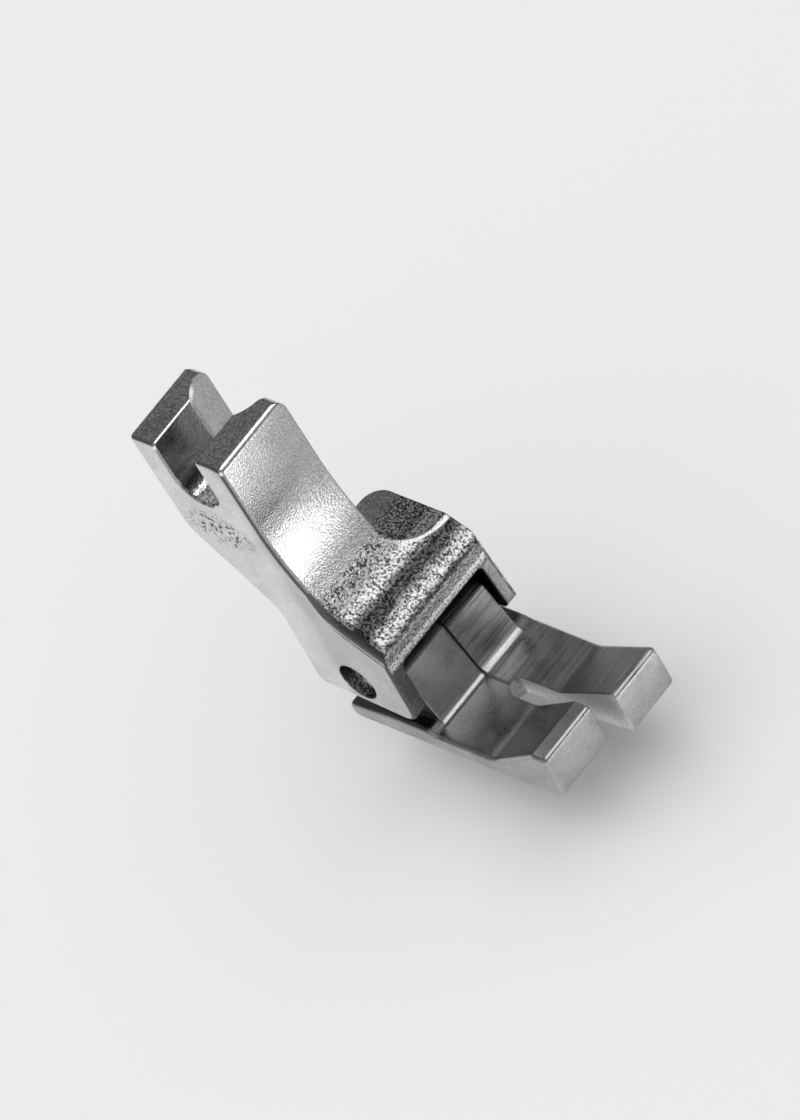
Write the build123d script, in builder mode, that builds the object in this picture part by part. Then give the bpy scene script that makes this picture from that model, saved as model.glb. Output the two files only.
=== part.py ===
"""Hinged presser foot for a high-shank lockstitch machine.

Frame: +Z up, the toes point to -Y, +X is the operator's right. The origin lies on the sole's
underside, straight below the hinge pin and midway between the sole's two sides.
A name that ends in _forward is a distance from the pin towards the toes.
"""
import os
from math import acos, atan2, cos, hypot, radians, sin, sqrt, tan

from build123d import *

os.makedirs("parts", exist_ok=True)

# The outlines are drawn as (forward, up) from the side and as (right, up) from the front
side_view = Plane(origin=(0, 0, 0), x_dir=(0, -1, 0), z_dir=(-1, 0, 0))
front_view = Plane(origin=(0, 0, 0), x_dir=(1, 0, 0), z_dir=(0, -1, 0))
reach = 60.0
small_gap = 0.01

# Hinge
pin_height = 6.75
pin_radius = 1.9
pin_recess = 0.8
pin_chamfer = 0.25
running_gap = 0.05

# Fork that clamps the presser bar
fork_right = 1.53
fork_rear = -11.38
fork_front = -0.91
fork_top = 33.1
fork_corner_radius = 1.2
fork_rear_top_radius = 0.3
fork_front_top_radius = 0.5
bar_radius = 3.65
bar_right = 1.2
bar_forward = -6.26
slot_width = 4.6
slot_floor = 26.5
slot_edge_radius = 0.3

# Gooseneck
neck_front_top = 21.8
neck_foot_forward = 1.2
neck_foot_height = 14.8
neck_front_radius = 26.0
neck_foot_radius = 4.0
neck_rear_top = 21.6
neck_rear_foot = 13.2
neck_rear_radius = 3.0
ledge_height = 13.9
ledge_cutter_radius = 7.4
ledge_cutter_right = 6.57
ledge_cutter_forward = -4.65
roof_edge_radius = 1.2
roof_edge_start = 19.5

# Yoke, whose heights above and below the pin follow the pin
yoke_half_width = 6.57
yoke_rear = -5.6
yoke_front = 5.47
roof_slope = 32.6
nose_radius = 1.4
roof_underside = pin_height + 3.1
yoke_rear_corner_radius = 1.9
yoke_front_corner_radius = 0.8
side_edge_radius = 0.4
flare_top = ledge_height
flare_radius = 90.0
ear_flare = 2.2
ear_gap = 10.66
ear_gap_radius = 0.7
ear_rear_bottom = pin_height - 2.25
ear_front_bottom = pin_height - 3.05
ear_rear_radius = 0.9
ear_front_radius = 1.3

# Sole
sole_width = 13.08
tail_forward = -4.45
tail_thickness = 1.6
tail_bottom_radius = 0.9
tail_top_radius = 0.6
wing_thickness = 2.1
wing_full_forward = 0.95
wing_full_radius = 6.0
bend_forward = 5.45
bend_length = 0.9
bend_top_radius = 0.5
bend_foot_radius = 0.6
ramp_foot_radius = 3.0
ramp_top_radius = 0.5
needle_slot_width = 1.7
needle_slot_right = 0.31
needle_slot_end = 8.6
lug_width = 10.2
lug_wall = 0.75
lug_height = pin_height + 0.5
toe_height = 5.2
toe_undercut = 0.2
toe_bottom = 0.6
toe_bottom_length = 4.6
sole_edge_radius = 0.45
toe_top_radius = 0.46
toe_bottom_radius = 0.7
toe_rise_radius = 6.0

# The two milling passes that meet at the needle slot: height of the plate's top, how far forward
# the lug's face starts, the fillet at its foot, where the ramp starts, its slope and the toe's flat top
left_pass = dict(plate=1.74, lug_face=3.9, foot=0.8, ramp=12.35, slope=29.3, toe_flat=1.6)
right_pass = dict(plate=1.94, lug_face=4.4, foot=1.5, ramp=13.55, slope=23.5, toe_flat=0.65)


def half_width_at(height):
    """Outside half-width of the yoke, whose ears lean outwards below the shoulder."""
    return yoke_half_width + (flare_top - height) * tan(radians(ear_flare))


def make_roof_edge_cutter():
    """Rounds the left edge in front: it runs into the edge above the neck's foot and follows the roof."""
    entry = roof_edge_radius * (1 - sqrt(0.5))
    neck_lean = (neck_foot_forward - fork_front) / (neck_front_top - neck_foot_height)
    start_forward = neck_foot_forward - (roof_edge_start - neck_foot_height) * neck_lean + entry
    end_forward = yoke_front + 2
    end_height = neck_foot_height - (end_forward - neck_foot_forward) * tan(radians(roof_slope))
    over = 0.5
    with BuildPart() as cutter:
        with BuildLine() as path:
            FilletPolyline(
                (-yoke_half_width - entry, -start_forward, roof_edge_start),
                (-yoke_half_width, -neck_foot_forward, neck_foot_height),
                (-half_width_at(end_height), -end_forward, end_height),
                radius=neck_foot_radius,
            )
        with BuildSketch(Plane(path.line @ 0, x_dir=(1, 0, 0), z_dir=path.line % 0)):
            with BuildLine():
                ThreePointArc((roof_edge_radius, 0), (entry, -entry), (0, -roof_edge_radius))
                Polyline(
                    (0, -roof_edge_radius),
                    (-over, -roof_edge_radius),
                    (-over, over),
                    (roof_edge_radius, over),
                    (roof_edge_radius, 0),
                )
            make_face()
        sweep()
    return cutter.part


def make_shank():
    """The one-piece casting: fork, gooseneck, roof and two ears."""
    nose_height = neck_foot_height - (yoke_front - neck_foot_forward) * tan(radians(roof_slope))
    edge_cutter = make_roof_edge_cutter()
    with BuildPart() as shank:
        with BuildSketch(side_view):
            with BuildLine():
                FilletPolyline(
                    (fork_rear, fork_top),
                    (fork_front, fork_top),
                    (fork_front, neck_front_top),
                    (neck_foot_forward, neck_foot_height),
                    (yoke_front, nose_height),
                    (yoke_front, ear_front_bottom),
                    (yoke_rear, ear_rear_bottom),
                    (yoke_rear, neck_rear_foot),
                    (fork_rear, neck_rear_top),
                    radius=(fork_rear_top_radius, fork_front_top_radius, neck_front_radius, neck_foot_radius,
                            nose_radius, ear_front_radius, ear_rear_radius, neck_rear_radius, neck_rear_radius),
                    close=True,
                )
            make_face()
        extrude(amount=reach / 2, both=True)

        # Seen from the front: flush left side, and ears that lean outwards
        with BuildSketch(front_view):
            with BuildLine():
                FilletPolyline(
                    (-half_width_at(0), 0),
                    (-yoke_half_width, flare_top),
                    (-yoke_half_width, reach),
                    (yoke_half_width, reach),
                    (yoke_half_width, flare_top),
                    (half_width_at(0), 0),
                    radius=(0, flare_radius, 0, 0, 0, 0),
                    close=True,
                )
            make_face()
        extrude(amount=reach / 2, both=True, mode=Mode.INTERSECT)

        # Rounded right corners, seen along the right side, which leans below the ledge
        lean = radians(ear_flare)
        leaning = Plane(
            origin=(yoke_half_width, 0, flare_top),
            x_dir=(cos(lean), 0, sin(lean)),
            z_dir=(-sin(lean), 0, cos(lean)),
        )
        with BuildSketch(leaning):
            with Locations((-yoke_rear_corner_radius, -yoke_rear - yoke_rear_corner_radius)):
                Rectangle(reach, reach, align=(Align.MIN, Align.MIN))
                Circle(yoke_rear_corner_radius, mode=Mode.SUBTRACT)
            with Locations((-yoke_front_corner_radius, -yoke_front + yoke_front_corner_radius)):
                Rectangle(reach, reach, align=(Align.MIN, Align.MAX))
                Circle(yoke_front_corner_radius, mode=Mode.SUBTRACT)
        extrude(amount=reach, both=True, mode=Mode.SUBTRACT)

        # Beside the neck the yoke's rear face is flat up to the ledge
        with BuildSketch(Plane.XY):
            with Locations((fork_right, -yoke_rear)):
                Rectangle(reach, reach, align=(Align.MIN, Align.MIN))
        extrude(amount=reach, mode=Mode.SUBTRACT)

        # Round seat for the presser bar, and the flat ledge that a cutter leaves below the bar
        with BuildSketch(Plane.XY.offset(ledge_height)):
            with Locations((fork_right, -ledge_cutter_forward)):
                Rectangle(reach, reach, align=(Align.MIN, Align.MIN))
            with Locations((ledge_cutter_right, -ledge_cutter_forward)):
                Circle(ledge_cutter_radius)
            with Locations((fork_right, 0)):
                Rectangle(reach, reach, align=(Align.MAX, Align.CENTER), mode=Mode.SUBTRACT)
            with Locations((bar_right, -bar_forward)):
                Circle(bar_radius)
        extrude(amount=reach, mode=Mode.SUBTRACT)

        # The edges round the left side, then the larger rounding of its front edge
        left_edges = shank.edges().filter_by(Axis.X, reverse=True)
        left_edges = left_edges.filter_by_position(Axis.X, -reach, -yoke_half_width + small_gap)
        fillet(left_edges, side_edge_radius)
        add(edge_cutter, mode=Mode.SUBTRACT)

        # Slot for the clamp screw, open at the top
        with BuildSketch(side_view):
            with Locations((bar_forward, slot_floor)):
                SlotOverall(reach, slot_width, rotation=90, align=(Align.MIN, Align.CENTER))
        extrude(amount=reach / 2, both=True, mode=Mode.SUBTRACT)
        slot_centre = -bar_forward
        slot_top = shank.edges().filter_by(Axis.X).filter_by_position(
            Axis.Y, slot_centre - slot_width / 2 - small_gap, slot_centre + slot_width / 2 + small_gap)
        fillet(slot_top.group_by(Axis.Z)[-1], slot_edge_radius)

        # Far corners of the two prongs, from the front and from above
        with BuildSketch(front_view):
            with Locations((fork_right - fork_corner_radius, fork_top - fork_corner_radius)):
                Rectangle(reach, reach, align=(Align.MIN, Align.MIN))
                Circle(fork_corner_radius, mode=Mode.SUBTRACT)
        extrude(amount=reach / 2, both=True, mode=Mode.SUBTRACT)
        with BuildSketch(Plane.XY.offset(ledge_height)):
            with Locations((fork_right - fork_corner_radius, -fork_rear - fork_corner_radius)):
                Rectangle(reach, reach, align=(Align.MIN, Align.MIN))
                Circle(fork_corner_radius, mode=Mode.SUBTRACT)
        extrude(amount=reach, mode=Mode.SUBTRACT)

        # Gap between the ears, which lean outwards inside as well
        with BuildSketch(front_view):
            with BuildLine():
                lean = tan(radians(ear_flare))
                top_half = ear_gap / 2
                low_half = top_half + roof_underside * lean
                FilletPolyline(
                    (-low_half, 0), (-top_half, roof_underside), (top_half, roof_underside), (low_half, 0),
                    radius=(0, ear_gap_radius, ear_gap_radius, 0),
                    close=True,
                )
            make_face()
        extrude(amount=reach / 2, both=True, mode=Mode.SUBTRACT)

        # Pin holes through both ears
        with BuildSketch(side_view):
            with Locations((0, pin_height)):
                Circle(pin_radius)
        extrude(amount=reach / 2, both=True, mode=Mode.SUBTRACT)
    return shank.part


def toe_front(cut):
    """How far forward a toe reaches."""
    return cut["ramp"] + (toe_height - cut["plate"]) / tan(radians(cut["slope"])) + cut["toe_flat"]


def draw_plate(cut):
    """Side outline of one half of the plate, from the tail to its upturned toe."""
    plate, front = cut["plate"], toe_front(cut)
    with BuildSketch(side_view) as sketch:
        with BuildLine():
            FilletPolyline(
                (tail_forward, 0),
                (tail_forward, tail_thickness),
                (wing_full_forward, wing_thickness),
                (bend_forward - bend_length / 2, wing_thickness),
                (bend_forward + bend_length / 2, plate),
                (cut["ramp"], plate),
                (front - cut["toe_flat"], toe_height),
                (front, toe_height),
                (front - toe_undercut, toe_bottom),
                (front - toe_bottom_length, 0),
                radius=(tail_bottom_radius, tail_top_radius, wing_full_radius, bend_top_radius, bend_foot_radius,
                        ramp_foot_radius, ramp_top_radius, toe_top_radius, toe_bottom_radius, toe_rise_radius),
                close=True,
            )
        make_face()
    return sketch.sketch


def draw_lug(cut):
    """Side outline of one half of the lug: boss round the pin and a sloping front face."""
    plate, lug_face, foot = cut["plate"], cut["lug_face"], cut["foot"]
    boss = pin_radius + running_gap + lug_wall
    rise = lug_height - pin_height
    tangent = atan2(rise, lug_face) + acos(boss / hypot(rise, lug_face))
    root = plate / 2
    with BuildSketch(side_view) as sketch:
        with Locations((0, pin_height)):
            Circle(boss)
        with Locations((0, root)):
            Rectangle(2 * boss, pin_height - root, align=(Align.CENTER, Align.MIN))
        with BuildLine():
            Polyline(
                (0, pin_height),
                (boss * cos(tangent), pin_height + boss * sin(tangent)),
                (lug_face, lug_height),
                close=True,
            )
        make_face()
        with BuildLine():
            FilletPolyline(
                (0, root),
                (0, pin_height),
                (lug_face, lug_height),
                (bend_forward, plate),
                (bend_forward + foot, plate),
                (bend_forward + foot, root),
                radius=(0, 0, 0, foot, 0, 0),
                close=True,
            )
        make_face()
    return sketch.sketch


def make_sole():
    """The hinged foot: plate, lug, needle slot and two toes, milled in two passes."""
    seam = needle_slot_right
    plates = [draw_plate(left_pass), draw_plate(right_pass)]
    lugs = [draw_lug(left_pass), draw_lug(right_pass)]
    with BuildPart() as sole:
        for outlines, half_width in ((plates, sole_width / 2), (lugs, lug_width / 2)):
            extrude(outlines[0].moved(Location((seam, 0, 0))), amount=half_width + seam)
            extrude(outlines[1].moved(Location((half_width, 0, 0))), amount=half_width - seam)

        with BuildSketch(Plane.XY):
            with Locations((needle_slot_right, -needle_slot_end)):
                SlotOverall(reach, needle_slot_width, rotation=90, align=(Align.MAX, Align.CENTER))
        extrude(amount=reach, mode=Mode.SUBTRACT)

        # The edges round both outer sides of the plate and toes
        along_sides = sole.edges().filter_by(Axis.X, reverse=True)
        for side in (-sole_width / 2, sole_width / 2):
            fillet(along_sides.filter_by_position(Axis.X, side - small_gap, side + small_gap), sole_edge_radius)

        with BuildSketch(side_view):
            with Locations((0, pin_height)):
                Circle(pin_radius + running_gap)
        extrude(amount=reach / 2, both=True, mode=Mode.SUBTRACT)
    return sole.part


def make_hinge_pin():
    """Plain pin, pressed into both ears and set a little inside their faces."""
    half_length = half_width_at(pin_height) - pin_recess
    with BuildPart() as pin:
        with BuildSketch(side_view):
            with Locations((0, pin_height)):
                Circle(pin_radius)
        extrude(amount=half_length, both=True)
        chamfer(pin.edges().filter_by(GeomType.CIRCLE), pin_chamfer)
    return pin.part


pieces = {"shank": make_shank(), "sole": make_sole(), "hinge_pin": make_hinge_pin()}
for name, piece in pieces.items():
    piece.label = name
    export_step(piece, f"parts/{name}.step")
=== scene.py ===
"""Looks of a hinged presser foot in bare plated steel, over a pale floor in soft studio light."""
from math import radians

import bpy
from mathutils import Matrix, Vector

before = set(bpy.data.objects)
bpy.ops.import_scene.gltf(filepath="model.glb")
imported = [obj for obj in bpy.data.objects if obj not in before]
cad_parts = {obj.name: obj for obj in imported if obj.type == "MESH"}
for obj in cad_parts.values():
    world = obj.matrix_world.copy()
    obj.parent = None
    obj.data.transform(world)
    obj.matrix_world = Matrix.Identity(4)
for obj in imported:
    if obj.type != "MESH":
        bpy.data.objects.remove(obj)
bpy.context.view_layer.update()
mm = 0.001

# The photograph's view
view_azimuth = radians(-25.73)
view_elevation = radians(42.69)
view_roll = radians(-32.88)
view_distance = 1.5
view_centre = Vector((0.7, -3.1, 15.0)) * mm
view_reach = 20
image_height = 1120
pixels_per_metre = 12531

# The toes swing 4.8 mm down at the hinge's limit, and the floor lies just below that
floor_depth = 5.0 * mm
floor_size = 8.0
floor_colour = (0.86, 0.86, 0.855, 1)
floor_roughness = 0.9

# Light
world_colour = (0.97, 0.98, 1.0, 1)
world_strength = 0.20
light_aim = Vector((0, 0, 12)) * mm
front_card_turn = (radians(180), 0, radians(19))

# Places on the shank. A pair runs from where something starts to where it is whole, and a range of
# two places may be followed by how soft its ends are. A fade or shade ends with the shares it runs through.
roof_underside = 9.85 * mm
brow_heights = (roof_underside, 11.9 * mm, 0.1 * mm)
roof_rear = (3.5 * mm, 2.0 * mm)
neck_foot = (16.2 * mm, 17.2 * mm)
ear_top = (roof_underside - 0.3 * mm, roof_underside)
gap_heights = (0.0, roof_underside + 0.03 * mm, 0.03 * mm)
gap_halves = (0.0, 5.6 * mm, 0.05 * mm)
yoke_front = (-5.45 * mm, -5.2 * mm)
left_edge_rear = (2.5 * mm, 1.0 * mm)
clamp_slot_heights = (25.0 * mm, 27.2 * mm, 0.5 * mm)
clamp_slot_depths = (4.2 * mm, 8.3 * mm, 0.2 * mm)
fork_top = (32.3 * mm, 32.6 * mm)
ledge_cutter = Vector((6.57, 4.65, 0)) * mm
ledge_cutter_radius = 7.4 * mm
ledge_rim = (ledge_cutter_radius - 0.02 * mm, ledge_cutter_radius + 0.25 * mm, 0.1 * mm)
ledge_heights = (13.5 * mm, 15.5 * mm, 0.3 * mm)
ledge_left = (1.4 * mm, 1.8 * mm)
pits_centre = Vector((-6.57, 6.6, 23.2)) * mm
pits_radius = 5.0 * mm
pits_fade = (pits_radius * 0.45, pits_radius, 1.0, 0.0)
pits_squeeze = (1, 1.1, 1.9)

# Places on the sole and the pin
seam_x = 0.31 * mm
seam_sides = (seam_x - 0.02 * mm, seam_x + 0.02 * mm)
seam_shade = (0.03 * mm, 0.10 * mm, 1.0, 0.0)
bend_y = -5.45 * mm
seam_run = (bend_y + 0.3 * mm, -1 * mm, 1.5 * mm)
toe_start = (-15 * mm, -17 * mm)
lug_foot = (2.6 * mm, 3.2 * mm)
lug_front = (-8 * mm, -6.6 * mm)
lug_rear = (-5.1 * mm, -4.6 * mm)
lug_halves = (5.0 * mm, 5.2 * mm, 0.05 * mm)
lug_top = (7.1 * mm, 7.1 * mm + 0.15 * mm)
needle_slot = (0.3 * mm, 1.4 * mm, 0.05 * mm)
pin_height = 6.75 * mm
# Painted shade on the pin's end: darker up and back, lighter at its lower front
pin_painted_shade = (-pin_height - 1.4 * mm, -pin_height + 1.2 * mm, 0.2)

# Which way a face looks, as the part of its normal that lies along an axis
shank_side_facing = (0.8, 0.97)
shank_front_facing = (0.85, 0.97)
shank_top_facing = (0.90, 0.99)
left_edge_facing = (-0.93, -0.62, 0.10)
clamp_slot_facing = (0.2, 0.5)
fork_rim_facing = (-0.86, -0.5, 0.08)
sole_side_facing = (0.7, 0.95)
toe_front_facing = (0.8, 0.97)
toe_flat_facing = (0.95, 0.99)
plate_top_facing = (0.75, 0.9)
toe_ramp_facing = (0.08, 0.35)
lug_back_facing = (0.6, 0.9)

# Tones of the steel, from 0 for black to 1, and shares of them. Some run between two places.
front_tone = 0.38
# Painted shade: the neck's front is darker towards its foot
neck_foot_painted_shade = (16.8 * mm, 20.0 * mm, 0.75, 1.0)
side_tone = 0.80
top_tone = 0.52
# Painted shade: the left ear's front is darker than the right's
ear_shade_tones = (-1.0 * mm, 1.0 * mm, 0.14, 0.44)
# Painted highlight on the fork's front top edge and the ledge's rim
rim_highlight_tone = 1.0
# Dark for the pits, and painted shade on the rounded left front edge
pit_and_edge_shade_tone = 0.12
# Painted shade: the gap under the roof, between the ears, near black
gap_shade_tone = 0.02
plate_tone = 0.50
matte_tone = 0.50
# Painted light: the needle slot's wall, lit from the floor below it
needle_wall_light_tone = 1.0
lug_tone = 0.40
toe_ramp_tone = 0.21
toe_flat_tone = 0.62
seam_tone = 0.05
# Painted shade under the yoke: the lug's top and sides and the tops behind it, near black
under_yoke_shade_tone = 0.08
under_yoke_shade_share = 0.85
blue_share = 0.99

# Painted reflections: bright and dark bands across the roof, from its front edge back, and up the brow below
# it, as (metres, tone)
roof_reflection_bands = [(y * mm, tone) for y, tone in (
    (-5.6, 0.10), (-5.35, 0.12), (-5.05, 0.80), (-4.7, 0.80), (-4.25, 0.42), (-3.8, 0.12), (-3.1, 0.08),
    (-2.7, 0.22), (-2.2, 0.70), (-1.6, 0.90), (-1.15, 0.85), (-0.9, 0.40), (-0.55, 0.24), (-0.3, 0.30),
    (0.0, 0.42))]
brow_reflection_bands = [(z * mm, tone) for z, tone in (
    (9.8, 0.25), (10.15, 0.7), (10.45, 1.0), (10.75, 0.38), (11.5, 0.30), (11.9, 0.12))]

# Grains of the noise
shank_fine_grain = 0.18 * mm
shank_coarse_grain = 0.21 * mm
shank_cloud_grain = 3.0 * mm
roof_wave_grain = 1.6 * mm
pit_grain = 0.34 * mm
sole_fine_grain = 0.15 * mm
sole_cloud_grain = 2.4 * mm
milling_grain = 0.2 * mm
milling_stretch = (22, 1, 1)
pin_grain = 0.45 * mm

# Two values of the noise, and what they give: mostly a share of the tone
roof_sway = (0.3, 0.7, -0.12 * mm, 0.12 * mm)
roof_speckle = (0.36, 0.64, 0.15, 1.75)
brow_speckle = (0.36, 0.62, 0.35, 1.55)
shank_clouds = (0.3, 0.7, 0.92, 1.07)
front_speckle = (0.35, 0.65, 0.80, 1.2)
side_speckle = (0.3, 0.7, 0.9, 1.07)
top_speckle = (0.35, 0.65, 0.7, 1.3)
clamp_slot_speckle = (0.4, 0.6, 0.3, 1.0)
pit_edges = (0.54, 0.60)
sole_clouds = (0.3, 0.7, 0.85, 1.1)
sole_speckle = (0.3, 0.7, 0.88, 1.1)
milling_speckle = (0.35, 0.65, 0.70, 1.08)
sole_roughness_sway = (0.35, 0.7, -0.03, 0.06)
pin_speckle = (0.40, 0.56, 0.10, 1.0)
pin_roughness = (0.3, 0.7, 0.5, 0.3)

# Roughness
front_roughness = 0.155
side_roughness = 0.5
top_roughness = 0.42
roof_roughness = 0.32
plate_roughness = 0.3
matte_roughness = 0.5

# Relief: how deep it is, and how strongly it shows
edge_rounding = 0.22 * mm
edge_samples = 8
roof_depth, roof_relief = 0.10 * mm, 0.8
shank_depth, front_relief, side_relief = 0.03 * mm, 0.55, 0.4
pit_depth = 0.14 * mm
milling_depth, left_milling, right_milling = 0.04 * mm, 0.15, 0.8
sole_depth, plate_relief, matte_relief = 0.02 * mm, 0.35, 0.6
pin_depth, pin_relief = 0.3 * mm, 0.9


def tree_of(name):
    """A new metal material, with its node tree and its shader."""
    material = bpy.data.materials.new(name)
    material.use_nodes = True
    tree = material.node_tree
    shader = tree.nodes["Principled BSDF"]
    shader.inputs["Metallic"].default_value = 1.0
    return material, tree, shader


def feed(tree, made, inputs):
    """Gives the node's sockets, by name or number, a link or a fixed value."""
    for name, value in inputs:
        if isinstance(value, bpy.types.NodeSocket):
            tree.links.new(value, made.inputs[name])
        else:
            made.inputs[name].default_value = value


def add(tree, kind, inputs=(), **settings):
    """A node of a kind: settings are its properties, inputs its sockets by name or number."""
    made = tree.nodes.new("ShaderNode" + kind)
    for name, value in settings.items():
        setattr(made, name, value)
    feed(tree, made, dict(inputs).items())
    return made


def maths(tree, operation, *values):
    return add(tree, "Math", enumerate(values), operation=operation).outputs[0]


def times(tree, *values):
    """The product of all the values."""
    product = values[0]
    for value in values[1:]:
        product = maths(tree, "MULTIPLY", product, value)
    return product


def most(tree, first, second):
    return maths(tree, "MAXIMUM", first, second)


def without(tree, share):
    """1 where share is 0, and 0 where it is 1."""
    return maths(tree, "SUBTRACT", 1.0, share)


def ramp(tree, value, low, high, to_low=0.0, to_high=1.0):
    """value from low to high, as a smooth rise from to_low to to_high."""
    made = add(tree, "MapRange", interpolation_type="SMOOTHSTEP")
    names = ("Value", "From Min", "From Max", "To Min", "To Max")
    feed(tree, made, zip(names, (value, low, high, to_low, to_high)))
    return made.outputs["Result"]


def blend(tree, share, first, second):
    """first where share is 0 and second where it is 1."""
    made = add(tree, "Mix", data_type="FLOAT")
    feed(tree, made, zip((0, 2, 3), (share, first, second)))
    return made.outputs[0]


def bands(tree, value, points):
    """A tone that runs through (value, tone) points, smoothly and in order."""
    low, high = points[0][0], points[-1][0]
    share = add(tree, "MapRange", {"Value": value, "From Min": low, "From Max": high})
    made = add(tree, "ValToRGB", {0: share.outputs["Result"]})
    made.color_ramp.interpolation = "EASE"
    elements = made.color_ramp.elements
    while len(elements) < len(points):
        elements.new(0.5)
    for element, (place, tone) in zip(elements, points):
        element.position = (place - low) / (high - low)
        element.color = (tone, tone, tone, 1)
    return made.outputs[0]


def noise(tree, place, size, detail=3.0, stretch=(1, 1, 1)):
    """Noise whose grain is about size across, pulled out along the axes where stretch is large."""
    scaled = add(tree, "VectorMath", {0: place, 1: [1 / s for s in stretch]}, operation="MULTIPLY")
    made = add(tree, "TexNoise", {"Vector": scaled.outputs[0], "Scale": 1 / size, "Detail": detail})
    return made.outputs["Fac"]


def places(tree):
    """The object's own coordinates, whole and split in three, and its normals split in three."""
    source = add(tree, "TexCoord")
    at = add(tree, "SeparateXYZ", {0: source.outputs["Object"]})
    facing = add(tree, "SeparateXYZ", {0: source.outputs["Normal"]})
    return source.outputs["Object"], at.outputs, facing.outputs


def away_from(tree, place, centre, squeeze):
    """How far place lies from centre, with each axis made longer or shorter by squeeze."""
    away = add(tree, "VectorMath", {0: place, 1: centre}, operation="SUBTRACT")
    away = add(tree, "VectorMath", {0: away.outputs[0], 1: squeeze}, operation="MULTIPLY")
    return add(tree, "VectorMath", {0: away.outputs[0]}, operation="LENGTH").outputs["Value"]


def inside(tree, value, low, high, soft):
    """1 where value lies between low and high, with edges that are soft wide."""
    rise = ramp(tree, value, low - soft, low)
    return times(tree, rise, ramp(tree, value, high, high + soft, 1.0, 0.0))


def bump(tree, shader, layers):
    """Rounds the edges, then stacks (height, depth in metres, strength) layers of relief."""
    before = add(tree, "Bevel", {"Radius": edge_rounding}, samples=edge_samples).outputs[0]
    for height, depth, strength in layers:
        made = add(tree, "Bump", {"Height": height, "Distance": depth, "Strength": strength})
        tree.links.new(before, made.inputs["Normal"])
        before = made.outputs["Normal"]
    tree.links.new(before, shader.inputs["Normal"])


def grey(tree, shader, value):
    """Gives the shader a grey whose blue is a little less than its red."""
    blue = times(tree, value, blue_share)
    colour = add(tree, "CombineColor", {"Red": value, "Green": value, "Blue": blue})
    tree.links.new(colour.outputs[0], shader.inputs["Base Color"])


def painted_rim_highlights(tree, place, at, facing):
    """Painted highlights on the edges that shine: the fork's front top edge and the ledge's curved edge."""
    fork = inside(tree, facing["Y"], *fork_rim_facing)
    fork = times(tree, fork, ramp(tree, at["Z"], *fork_top))
    ledge = away_from(tree, place, ledge_cutter, (1, 1, 0))
    ledge = inside(tree, ledge, *ledge_rim)
    ledge = times(tree, ledge, inside(tree, at["Z"], *ledge_heights))
    ledge = times(tree, ledge, ramp(tree, at["X"], *ledge_left))
    return most(tree, fork, ledge)


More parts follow.
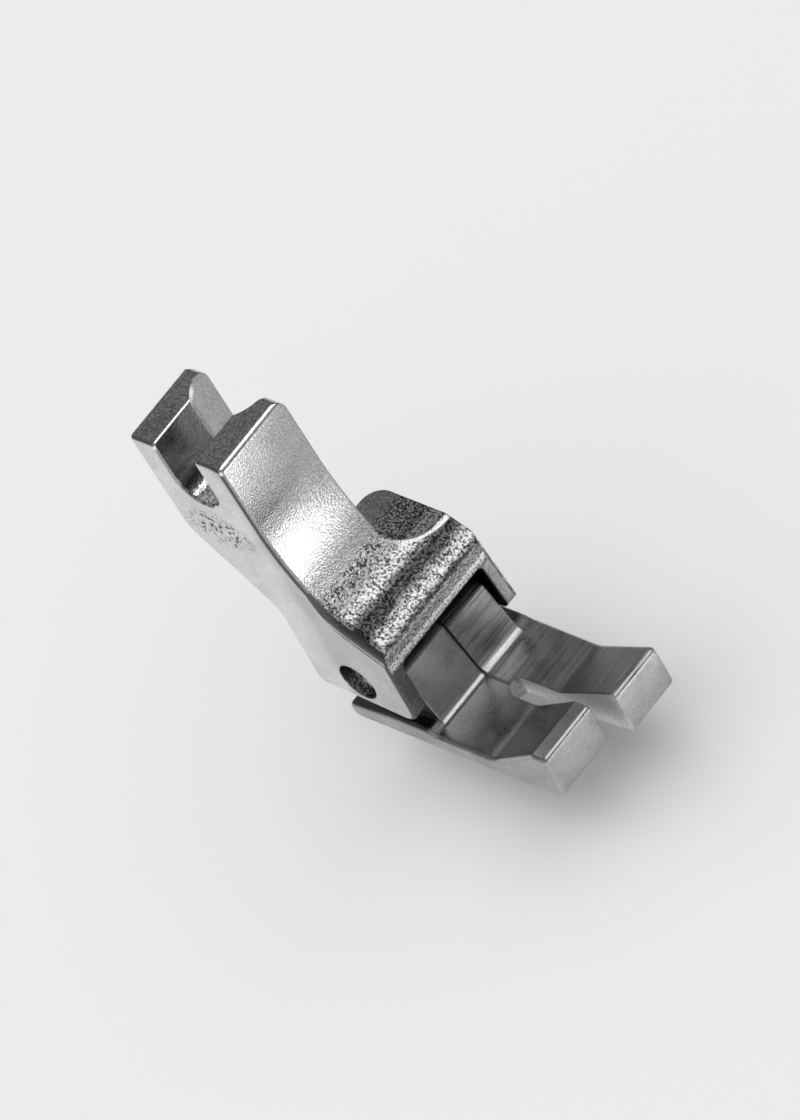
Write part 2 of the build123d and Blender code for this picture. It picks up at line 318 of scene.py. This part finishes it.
def shank_steel():
    """Cast and ground: matte sides, grey front, dark tops, a coarse roof banded by painted reflections, and
    a gap in painted shade.
    """
    material, tree, shader = tree_of("shank_steel")
    place, at, facing = places(tree)
    fine = noise(tree, place, shank_fine_grain)
    coarse = noise(tree, place, shank_coarse_grain)
    cloud = noise(tree, place, shank_cloud_grain)
    waves = noise(tree, place, roof_wave_grain, detail=2.0)

    # Where each look goes
    side = ramp(tree, maths(tree, "ABSOLUTE", facing["X"]), *shank_side_facing)
    top = ramp(tree, facing["Z"], *shank_top_facing)
    forward = ramp(tree, times(tree, facing["Y"], -1.0), *shank_front_facing)
    across = maths(tree, "ABSOLUTE", at["X"])
    low = times(tree, ramp(tree, at["Z"], *neck_foot, 1.0, 0.0), without(tree, side))
    roof = times(tree, low, ramp(tree, at["Y"], *roof_rear))
    brow = inside(tree, at["Z"], *brow_heights)
    ears = times(tree, forward, ramp(tree, at["Z"], *ear_top, 1.0, 0.0))
    gap = times(tree, inside(tree, at["Z"], *gap_heights), inside(tree, across, *gap_halves),
                ramp(tree, at["Y"], *yoke_front))
    # The rounded left front edge, which gets painted shade
    shaded_left_edge = times(tree, inside(tree, facing["X"], *left_edge_facing),
                      ramp(tree, at["Y"], *left_edge_rear))
    slot = times(tree, inside(tree, at["Z"], *clamp_slot_heights), inside(tree, at["Y"], *clamp_slot_depths),
                 ramp(tree, facing["Z"], *clamp_slot_facing))
    pit_noise = ramp(tree, noise(tree, place, pit_grain, detail=4.0), *pit_edges)
    from_pits = away_from(tree, place, pits_centre, pits_squeeze)
    pits = times(tree, pit_noise, ramp(tree, from_pits, *pits_fade))

    # Its tone, from the widest areas to the smallest
    wavy = maths(tree, "ADD", at["Y"], ramp(tree, waves, *roof_sway))
    # Painted reflections: the roof and brow carry bright and dark bands, flecked by the grain
    roof_tone = times(tree, bands(tree, wavy, roof_reflection_bands), ramp(tree, coarse, *roof_speckle))
    brow_tone = times(tree, bands(tree, at["Z"], brow_reflection_bands), ramp(tree, coarse, *brow_speckle))
    # Painted shade: the neck's front is darker towards its foot
    neck_tone = times(tree, front_tone, ramp(tree, at["Z"], *neck_foot_painted_shade))
    tone = blend(tree, side, neck_tone, side_tone)
    tone = blend(tree, top, tone, top_tone)
    tone = blend(tree, roof, tone, roof_tone)
    tone = blend(tree, times(tree, brow, forward), tone, brow_tone)
    # Painted shade: the left ear's front is darker than the right's
    tone = blend(tree, ears, tone, ramp(tree, at["X"], *ear_shade_tones))
    tone = times(tree, tone, ramp(tree, cloud, *shank_clouds))
    speckle = blend(tree, side, ramp(tree, fine, *front_speckle), ramp(tree, fine, *side_speckle))
    tone = times(tree, tone, speckle)
    tone = blend(tree, top, tone, times(tree, tone, ramp(tree, coarse, *top_speckle)))
    tone = blend(tree, slot, tone, ramp(tree, coarse, *clamp_slot_speckle))
    tone = blend(tree, pits, tone, pit_and_edge_shade_tone)
    # Painted shade on the rounded left front edge
    tone = blend(tree, shaded_left_edge, tone, pit_and_edge_shade_tone)
    # Painted highlights along the fork's front top edge and the ledge's rim
    tone = blend(tree, painted_rim_highlights(tree, place, at, facing), tone, rim_highlight_tone)
    # Painted shade: the gap under the roof, between the ears, is near black
    tone = blend(tree, gap, tone, gap_shade_tone)
    grey(tree, shader, tone)

    rough = blend(tree, side, front_roughness, side_roughness)
    rough = blend(tree, top, rough, top_roughness)
    rough = blend(tree, roof, rough, roof_roughness)
    tree.links.new(rough, shader.inputs["Roughness"])
    bump(tree, shader, (
        (coarse, roof_depth, times(tree, roof, roof_relief)),
        (fine, shank_depth, blend(tree, side, front_relief, side_relief)),
        (without(tree, pits), pit_depth, 1.0),
    ))
    return material


def sole_steel():
    """Milled: dark glossy top, lines across the lug's right face, matte sides and toe fronts, painted shade
    under the yoke and painted light on the needle slot's wall.
    """
    material, tree, shader = tree_of("sole_steel")
    place, at, facing = places(tree)
    fine = noise(tree, place, sole_fine_grain)
    cloud = noise(tree, place, sole_cloud_grain)
    lines = noise(tree, place, milling_grain, detail=2.0, stretch=milling_stretch)

    # Where each look goes
    side = ramp(tree, maths(tree, "ABSOLUTE", facing["X"]), *sole_side_facing)
    forward = times(tree, facing["Y"], -1.0)
    on_toe = ramp(tree, at["Y"], *toe_start)
    toe_flat = times(tree, on_toe, ramp(tree, facing["Z"], *toe_flat_facing))
    matte = most(tree, side, times(tree, ramp(tree, forward, *toe_front_facing), on_toe))
    right = ramp(tree, at["X"], *seam_sides)
    lug = times(tree, ramp(tree, at["Z"], *lug_foot), ramp(tree, at["Y"], *lug_front))
    lug_side = times(tree, side, inside(tree, maths(tree, "ABSOLUTE", at["X"]), *lug_halves))
    lug_back = times(tree, ramp(tree, at["Y"], *lug_rear), under_yoke_shade_share,
                     ramp(tree, facing["Z"], *lug_back_facing))
    # Painted shade under the yoke, on the lug's top and sides and the tops behind it
    under_yoke_shade = most(tree, ramp(tree, at["Z"], *lug_top), lug_side)
    under_yoke_shade = most(tree, under_yoke_shade, lug_back)
    from_seam = maths(tree, "ABSOLUTE", maths(tree, "SUBTRACT", at["X"], seam_x))
    seam = times(tree, ramp(tree, from_seam, *seam_shade), inside(tree, at["Y"], *seam_run))
    up = ramp(tree, facing["Z"], *plate_top_facing)
    toe_ramp = times(tree, up, ramp(tree, facing["Y"], *toe_ramp_facing))
    needle_wall = times(tree, side, inside(tree, at["X"], *needle_slot))

    # Its tone, from the widest areas to the smallest
    # Painted light on the needle slot's wall, where the floor lights it
    tone = blend(tree, matte, plate_tone, blend(tree, needle_wall, matte_tone, needle_wall_light_tone))
    tone = blend(tree, times(tree, lug, without(tree, side)), tone, lug_tone)
    tone = blend(tree, toe_ramp, tone, toe_ramp_tone)
    tone = blend(tree, toe_flat, tone, toe_flat_tone)
    tone = times(tree, tone, ramp(tree, cloud, *sole_clouds))
    tone = times(tree, tone, ramp(tree, fine, *sole_speckle))
    lined = times(tree, right, without(tree, matte))
    tone = blend(tree, lined, tone, times(tree, tone, ramp(tree, lines, *milling_speckle)))
    tone = blend(tree, seam, tone, seam_tone)
    # Painted shade under the yoke
    tone = blend(tree, under_yoke_shade, tone, under_yoke_shade_tone)
    grey(tree, shader, tone)

    rough = blend(tree, matte, plate_roughness, matte_roughness)
    rough = maths(tree, "ADD", rough, ramp(tree, cloud, *sole_roughness_sway))
    tree.links.new(rough, shader.inputs["Roughness"])
    milled = times(tree, without(tree, matte), blend(tree, right, left_milling, right_milling))
    bump(tree, shader, (
        (lines, milling_depth, milled),
        (fine, sole_depth, blend(tree, matte, plate_relief, matte_relief)),
    ))
    return material


def pin_steel():
    """Dark steel, with a rough end where it was cut off, and painted shade that leaves it darker up and
    back, lighter at its lower front.
    """
    material, tree, shader = tree_of("pin_steel")
    place, at, _ = places(tree)
    lumps = noise(tree, place, pin_grain)
    low_front = maths(tree, "ADD", times(tree, at["Z"], -1.0), times(tree, at["Y"], -1.0))
    # Painted shade: the pin's end is darker up and back, lighter at its lower front
    lit = ramp(tree, low_front, *pin_painted_shade)
    grey(tree, shader, times(tree, ramp(tree, lumps, *pin_speckle), lit))
    tree.links.new(ramp(tree, lumps, *pin_roughness), shader.inputs["Roughness"])
    bump(tree, shader, ((lumps, pin_depth, pin_relief),))
    return material


def dress(node, material):
    """Gives a CAD node its material."""
    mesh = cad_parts[node].data
    mesh.materials.clear()
    mesh.materials.append(material)


def make_floor():
    bpy.ops.mesh.primitive_plane_add(size=floor_size, location=(0, 0, -floor_depth))
    floor = bpy.context.object
    floor.name = "floor"
    material, _, shader = tree_of("floor_paper")
    shader.inputs["Metallic"].default_value = 0.0
    shader.inputs["Roughness"].default_value = floor_roughness
    shader.inputs["Specular IOR Level"].default_value = 0.0
    shader.inputs["Base Color"].default_value = floor_colour
    floor.data.materials.append(material)


def make_light(name, place, size, power, lit):
    """A soft panel that faces the foot. lit says whether it lights matt things or shiny ones."""
    data = bpy.data.lights.new(name, "AREA")
    data.shape = "RECTANGLE"
    data.size, data.size_y = size
    data.energy = power
    lamp = bpy.data.objects.new(name, data)
    lamp.location = place
    lamp.rotation_euler = (Vector(place) - light_aim).to_track_quat("Z", "Y").to_euler()
    lamp.visible_camera = False
    lamp.visible_diffuse = lit == "diffuse"
    lamp.visible_glossy = lit == "glossy"
    bpy.context.collection.objects.link(lamp)
    return lamp


def make_light_set():
    """An even light for the pale floor, and three cards that the steel mirrors."""
    world = bpy.data.worlds.new("studio")
    world.use_nodes = True
    background = world.node_tree.nodes["Background"]
    background.inputs["Color"].default_value = world_colour
    background.inputs["Strength"].default_value = world_strength
    bpy.context.scene.world = world
    bpy.context.scene.view_settings.view_transform = "Standard"
    make_light("overhead", place=(-0.1, 0.1, 0.7), size=(2.4, 2.4), power=18.6, lit="diffuse")
    # This card lies face up in front of the toes, where the neck's curve mirrors it as a highlight
    front = make_light("front_card", place=(8.6 * mm, -46 * mm, 1 * mm), size=(0.012, 0.028), power=0.0058,
                       lit="glossy")
    front.rotation_euler = front_card_turn
    make_light("top_card", place=(0.09, -0.13, 0.24), size=(0.20, 0.16), power=0.17, lit="glossy")
    make_light("left_card", place=(-0.30, 0.06, 0.26), size=(0.05, 0.12), power=0.03, lit="glossy")


def make_camera():
    turn = (Matrix.Rotation(view_azimuth, 3, "Z") @ Matrix.Rotation(radians(90) - view_elevation, 3, "X")
            @ Matrix.Rotation(view_roll, 3, "Z"))
    data = bpy.data.cameras.new("camera")
    data.lens = pixels_per_metre * view_distance / image_height * data.sensor_width
    data.clip_end = view_reach
    camera = bpy.data.objects.new("camera", data)
    camera.matrix_world = Matrix.Translation(view_centre + turn.col[2] * view_distance) @ turn.to_4x4()
    bpy.context.collection.objects.link(camera)
    bpy.context.scene.camera = camera


make_camera()
make_light_set()
make_floor()
dress("shank", shank_steel())
dress("sole", sole_steel())
dress("hinge_pin", pin_steel())
